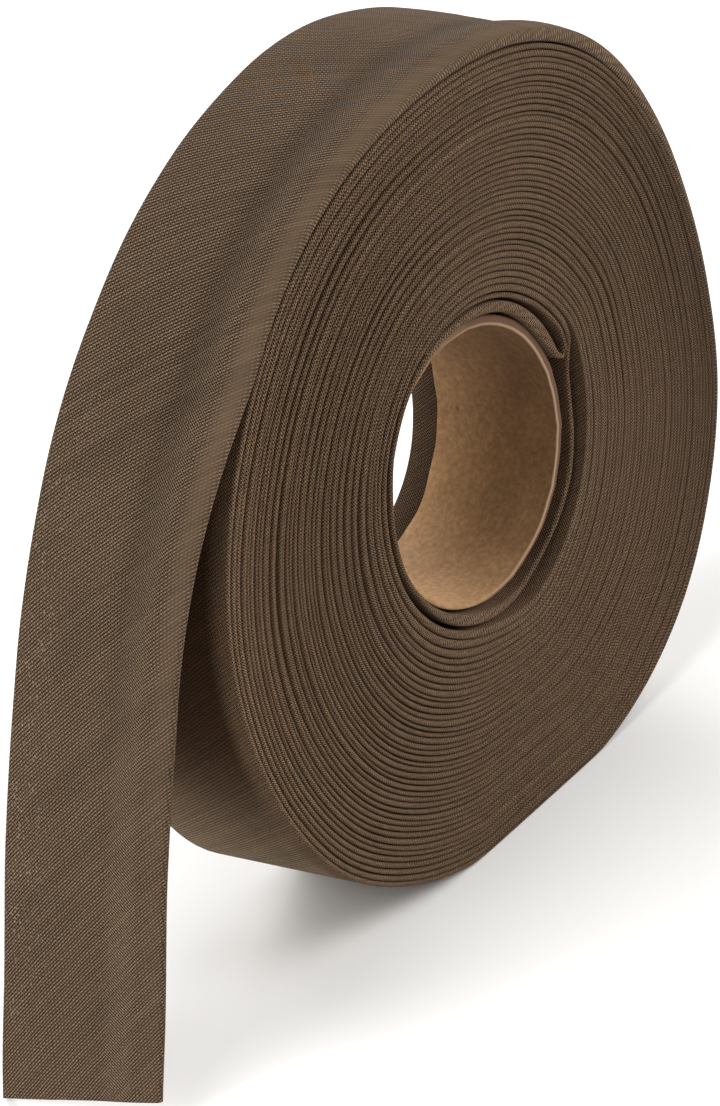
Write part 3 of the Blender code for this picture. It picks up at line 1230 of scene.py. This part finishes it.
    def build(self, material: bpy.types.Material) -> tuple[list[bpy.types.Object], float]:
        """Wind the coils.

        Args:
            material: The cloth.

        Returns:
            The pieces, and the length of tape in them.
        """
        pieces, wound = [], 0.0
        ends = np.linspace(self.first, self.last, self.coils + 1)
        for number, (start, stop) in enumerate(zip(ends, ends[1:]), 1):
            steps = round((stop - start) / FULL_TURN * self.steps_per_turn)
            path = self.path(np.linspace(start, stop, steps + 1))
            piece = self.tape.lay(f"wound_turns_{number}", path, start_length=wound)
            pieces.append(dress(piece, material, "wound_roll"))
            wound += path.length[-1]
        return pieces, wound


@dataclass(frozen=True)
class LooseEnd:
    """The last turn and the free end that hangs from the top of the roll."""

    place: Frame
    pack: WoundPack
    tape: FoldedTape = FoldedTape(face_steps=28, flap_steps=5, arc_steps=10, inner_arc_steps=6)
    start: float = -60.0
    cut_near: float = 210.0
    cut_far: float = 212.35
    leaves_from: float = 5.0
    clear_at: float = 35.0
    hangs_from: float = 165.0
    hangs_free: float = 190.0
    evens_over: float = 40.0  # degrees over which the pack's uneven edge evens out
    loose_angle: float = 51.0  # where the pack's count of turns ends
    steps: int = 330

    def _edge(self, angle: np.ndarray, column: str) -> np.ndarray:
        """Find one edge's outer face.

        Args:
            angle: Angles along the loose end, in degrees.
            column: The table's column for that edge.

        Returns:
            Its (X, Z) points.
        """
        lying = self.pack.boundary(self._along(angle)) + self._thick(angle)
        away = self._away(angle)
        away = away * away * (3 - 2 * away)
        radius = lying * (1 - away) + Curve.of(LOOSE_END, column)(angle) * MM * away
        return turned(angle, radius, self.place.axis_height)

    def _thick(self, angle: np.ndarray) -> np.ndarray:
        """Folded thickness at each angle, in metres."""
        return Curve.of(LOOSE_END, "thick")(angle) * MM

    def _along(self, angle: np.ndarray) -> np.ndarray:
        """Angle along the whole tape, in degrees, not wrapped."""
        return angle + self.pack.loose_from - self.loose_angle

    def _away(self, angle: np.ndarray) -> np.ndarray:
        """Share of the way, at each angle, from lying on the pack to clear of it."""
        return np.clip((angle - self.leaves_from) / (self.clear_at - self.leaves_from), 0, 1)

    def build(self, material: bpy.types.Material, wound: float) -> bpy.types.Object:
        """Lay the last turn and the free end.

        Args:
            material: The cloth.
            wound: Length of tape already wound.

        Returns:
            The piece.
        """
        near = np.linspace(self.start, self.cut_near, self.steps + 1)
        far = np.linspace(self.start, self.cut_far, self.steps + 1)
        along = self._along(near)
        held = np.clip(1 - (near - self.start) / self.evens_over, 0, 1)
        edge = self.tape.width / 2
        path = TapePath(
            near=self._edge(near, "near"),
            far=self._edge(far, "far"),
            near_y=-edge + self.pack.near_offset(along) * held,
            far_y=edge + self.pack.far_edge.along(along) * held,
            thick=self._thick(near),
        )
        skew = Curve.of(LOOSE_END, "skew")(near)
        piece = self.tape.lay("loose_end_tape", path, wound, self._lift(near), skew)
        dress(piece, material, "loose_end")
        return piece

    def _lift(self, angle: np.ndarray) -> np.ndarray:
        """Shape the face across its width.

        Args:
            angle: Angle of each step, in degrees.

        Returns:
            How far each corner of the section stands off the path, in metres.
        """
        shares = self.tape.shares()
        lying, hanging = Curve.of(CROWN, "lying")(shares), Curve.of(CROWN, "hanging")(shares)
        free = np.clip((angle - self.hangs_from) / (self.hangs_free - self.hangs_from), 0, 1)[:, None]
        face = np.array([corner.side is Side.FACE for corner in self.tape.section()])
        return (lying * (1 - free) + hanging * free) * self._away(angle)[:, None] * face * MM


@dataclass(frozen=True)
class FirstTurn:
    """The tape's raw start, folded back on itself, and its slack first turn round the core."""

    place: Frame
    pack: WoundPack
    tape: FoldedTape = FoldedTape(arc_steps=8, face_steps=3)
    step: float = 1.2 * MM

    def build(self, material: bpy.types.Material) -> bpy.types.Object:
        """Lay the first turn, up to where the wound pack takes it on.

        Args:
            material: The cloth.

        Returns:
            The piece.
        """
        # It joins the middle of the pack's first folded edge.
        ends = self.pack.path(np.array([self.pack.first - 1.0, self.pack.first]))
        seam = ends.near[1] + TapePath.inward(ends.near)[1] * ends.thick[1] / 2
        angle = np.array([row.angle for row in FIRST_TURN])
        near = np.array([row.radius for row in FIRST_TURN]) * MM
        lean = np.array([row.lean for row in FIRST_TURN]) * MM
        height = self.place.axis_height
        rows = np.concatenate([turned(angle, near, height), seam[None]])
        far_rows = np.concatenate([turned(angle, near - lean, height), seam[None]])
        walked = np.concatenate([[0.0], np.cumsum(np.linalg.norm(np.diff(rows, axis=0), axis=1))])
        at = np.linspace(0.0, walked[-1], round(walked[-1] / self.step) + 1)
        thick = Curve(walked, [row.thick * MM for row in FIRST_TURN] + [ends.thick[1]])(at)
        sunk = [row.sunk * MM for row in FIRST_TURN] + [ends.near_y[1] + self.tape.width / 2]
        inset = Curve(walked, sunk)(at)
        sides = []
        for line in (rows, far_rows):
            middle = np.stack([Curve(walked, line[:, 0])(at), Curve(walked, line[:, 1])(at)], axis=1)
            sides.append(middle - TapePath.inward(middle) * thick[:, None] / 2)
        edge = self.tape.width / 2
        path = TapePath(sides[0], sides[1], near_y=inset - edge, far_y=edge + inset, thick=thick)
        piece = self.tape.lay("first_turn_tape", path)
        dress(piece, material, "inner_start")
        return piece


@dataclass(frozen=True)
class CoreTube:
    """The open board tube, its cut rims slightly broken. Its cut attribute is 1 on the near rim."""

    place: Frame
    inner_radius: float = 18.0 * MM
    steps: int = 180
    rim_break: float = 0.2 * MM
    rim_wear: Ripple = Ripple(0.04 * MM, 5.0, 40.0, 21, 12)
    far_wear: Ripple = Ripple(0.12 * MM, 3.0, 25.0, 22, 12)
    swell: float = 0.35 * MM
    off_centre: tuple[float, float] = (0.15 * MM, 0.3 * MM)  # of its outside, so the wall is uneven
    shift: tuple[float, float] = (-0.15 * MM, -0.4 * MM)  # it hangs a little low in the bore
    set_back: float = 0.25 * MM
    far_over: float = 0.7 * MM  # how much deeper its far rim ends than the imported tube
    tilt: float = 0.35 * MM  # how much deeper the near rim stands at its upper left
    tilt_angle: float = 135.0

    def build(self, material: bpy.types.Material) -> bpy.types.Object:
        """Turn the tube and wear its rims.

        Args:
            material: The board.

        Returns:
            The piece.
        """
        place, outer = self.place, self.place.core_radius + self.swell
        inner = self.inner_radius
        shape = bmesh.new()
        corners = [
            shape.verts.new((radius, y, 0.0))
            for radius, y in (
                (inner, place.core_near),
                (inner, place.core_far + self.far_over),
                (outer, place.core_far + self.far_over),
                (outer, place.core_near),
            )
        ]
        edges = [shape.edges.new(pair) for pair in zip(corners, corners[1:] + corners[:1])]
        broken = {"offset": self.rim_break, "segments": 2, "profile": 0.5}
        bmesh.ops.bevel(shape, geom=corners, affect="VERTICES", material=-1, **broken)
        bmesh.ops.spin(
            shape,
            geom=shape.verts[:] + shape.edges[:],
            cent=(0, 0, 0),
            axis=(0, -1, 0),
            angle=math.tau,
            steps=self.steps,
            use_merge=True,
        )
        bmesh.ops.remove_doubles(shape, verts=shape.verts, dist=1e-6)
        bmesh.ops.recalc_face_normals(shape, faces=shape.faces)
        cut = shape.verts.layers.float.new("cut")
        for vert in shape.verts:
            angle = math.degrees(math.atan2(vert.co.z, vert.co.x))
            near = abs(vert.co.y - place.core_near) < 2 * self.rim_break
            vert[cut] = float(vert.co.y < place.core_near + self.rim_break / 2)
            if math.hypot(vert.co.x, vert.co.z) > (inner + outer) / 2:
                vert.co.x += self.off_centre[0]
                vert.co.z += self.off_centre[1]
            wear = self.rim_wear if near else self.far_wear
            vert.co.y += float(wear.along(np.array([angle]))[0])
            if near:
                vert.co.y += self.set_back + self.tilt * math.cos(math.radians(angle - self.tilt_angle))
        right, up = self.shift
        bmesh.ops.translate(shape, verts=shape.verts, vec=(right, 0.0, place.axis_height + up))
        mesh = bpy.data.meshes.new("core_board")
        shape.to_mesh(mesh)
        shape.free()
        return dress(finished(mesh), material, "core_tube")


@dataclass(frozen=True)
class Studio:
    """Pale floor, soft light and the camera."""

    azimuth: float = -49.61
    elevation: float = 27.79
    roll: float = -9.61
    distance: float = 542.0 * MM
    target: tuple[float, float, float] = (-12.06 * MM, 0.0, 43.18 * MM)
    lens: float = 137.8
    sensor: float = 36.0
    floor_size: float = 6.0
    floor_colour: str = "f4f3f1"
    light_size: float = 0.9
    room_light: float = 0.12

    def build(self) -> None:
        """Set up the floor, the lights and the camera."""
        self._floor()
        self._world()
        for name, place, power in (
            ("face_light", (0.9, -1.0, 0.5), 20.5),
            ("back_left_light", (-1.2, 0.45, 0.6), 9.5),
            ("top_left_light", (-0.9, 0.1, 1.0), 13.0),
            ("top_front_light", (0.3, -0.9, 1.1), 4.5),
            ("back_light", (0.6, 1.2, 0.5), 24.0),
        ):
            self._area(name, place, power)
        self._camera()
        bpy.context.scene.view_settings.view_transform = "Standard"

    def _floor(self) -> None:
        """Lay the floor."""
        shape = bmesh.new()
        bmesh.ops.create_grid(shape, x_segments=1, y_segments=1, size=self.floor_size / 2)
        mesh = bpy.data.meshes.new("floor")
        shape.to_mesh(mesh)
        shape.free()
        floor = bpy.data.objects.new("floor", mesh)
        bpy.context.scene.collection.objects.link(floor)
        material, _, shader = new_material("floor_paper")
        shader.inputs["Base Color"].default_value = linear(self.floor_colour)
        shader.inputs["Roughness"].default_value = 0.95
        shader.inputs["Specular IOR Level"].default_value = 0.1
        mesh.materials.append(material)

    def _world(self) -> None:
        """Light the room evenly."""
        world = bpy.data.worlds.new("studio")
        world.use_nodes = True
        background = world.node_tree.nodes["Background"]
        background.inputs["Color"].default_value = linear("ffffff")
        background.inputs["Strength"].default_value = self.room_light
        bpy.context.scene.world = world

    def _area(self, name: str, place: tuple[float, float, float], power: float) -> None:
        """Hang a square soft light that looks at the roll.

        Args:
            name: The light's name.
            place: Where it hangs, in metres.
            power: Its power in watts.
        """
        data = bpy.data.lights.new(name, "AREA")
        data.size = self.light_size
        data.energy = power
        light = bpy.data.objects.new(name, data)
        light.location = place
        way = Vector(self.target) - Vector(place)
        light.rotation_euler = way.to_track_quat("-Z", "Y").to_euler()
        bpy.context.scene.collection.objects.link(light)

    def _camera(self) -> None:
        """Aim the camera."""
        turn, tilt = math.radians(self.azimuth), math.radians(self.elevation)
        back = Vector((math.sin(turn) * math.cos(tilt), -math.cos(turn) * math.cos(tilt), math.sin(tilt)))
        data = bpy.data.cameras.new("camera")
        data.lens, data.sensor_width = self.lens, self.sensor
        camera = bpy.data.objects.new("camera", data)
        roll = Matrix.Rotation(math.radians(self.roll), 3, "Z")
        facing = (back.to_track_quat("Z", "Y").to_matrix() @ roll).to_4x4()
        camera.matrix_world = Matrix.Translation(Vector(self.target) + back * self.distance) @ facing
        bpy.context.scene.collection.objects.link(camera)
        bpy.context.scene.camera = camera


def main() -> None:
    """Build the roll and its studio."""
    logging.basicConfig(level=logging.INFO, format="%(name)s: %(message)s")
    Studio().build()
    place = Frame.read()
    cotton, kraft = BiasCotton(), KraftBoard()
    pack = WoundPack(place)
    core = CoreTube(place).build(kraft.material("kraft_board"))
    wound_cloth = cotton.material("bias_cotton_wound", Weave.WOUND)
    first = FirstTurn(place, pack).build(cotton.material("bias_cotton_first", Weave.FIRST))
    turns, wound = pack.build(wound_cloth)
    fades = (wound + MARKS_FADE_FROM, wound + MARKS_FADED)
    loose = LooseEnd(place, pack).build(cotton.material("bias_cotton_loose", Weave.LOOSE, fades), wound)
    for piece in (core, first, *turns, loose):
        log.info("%s: %d faces", piece.name, len(piece.data.polygons))


if __name__ == "__main__":
    main()
